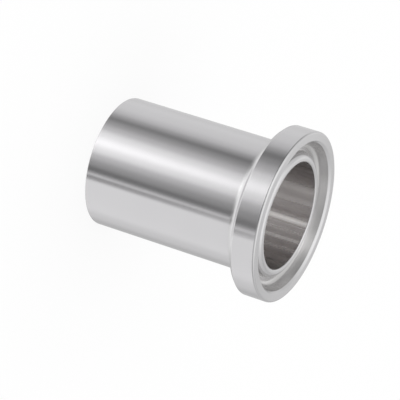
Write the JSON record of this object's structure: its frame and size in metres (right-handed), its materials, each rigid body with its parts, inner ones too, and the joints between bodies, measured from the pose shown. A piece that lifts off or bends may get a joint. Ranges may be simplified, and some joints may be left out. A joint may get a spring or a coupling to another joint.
{
  "type": "pipe collar",
  "caption": "Turned steel pipe collar: a plain weld-on tube with a thick round flange whose face has a seal recess and a raised lip round the bore.",
  "frame": {"origin": "centre of the weld end's face, on the axis of the bore", "axes": "+Z along the bore from the weld end to the sealing face; +X and +Y are free, because the part is a solid of revolution about Z"},
  "size_m": [0.025, 0.025, 0.0287],
  "materials": {
    "stainless_steel": "fine turned and polished, with fine marks round the axis and a finer satin bore"
  },
  "bodies": {
    "root": {"pipe_collar": "stainless_steel"}
  },
  "joints": []
}
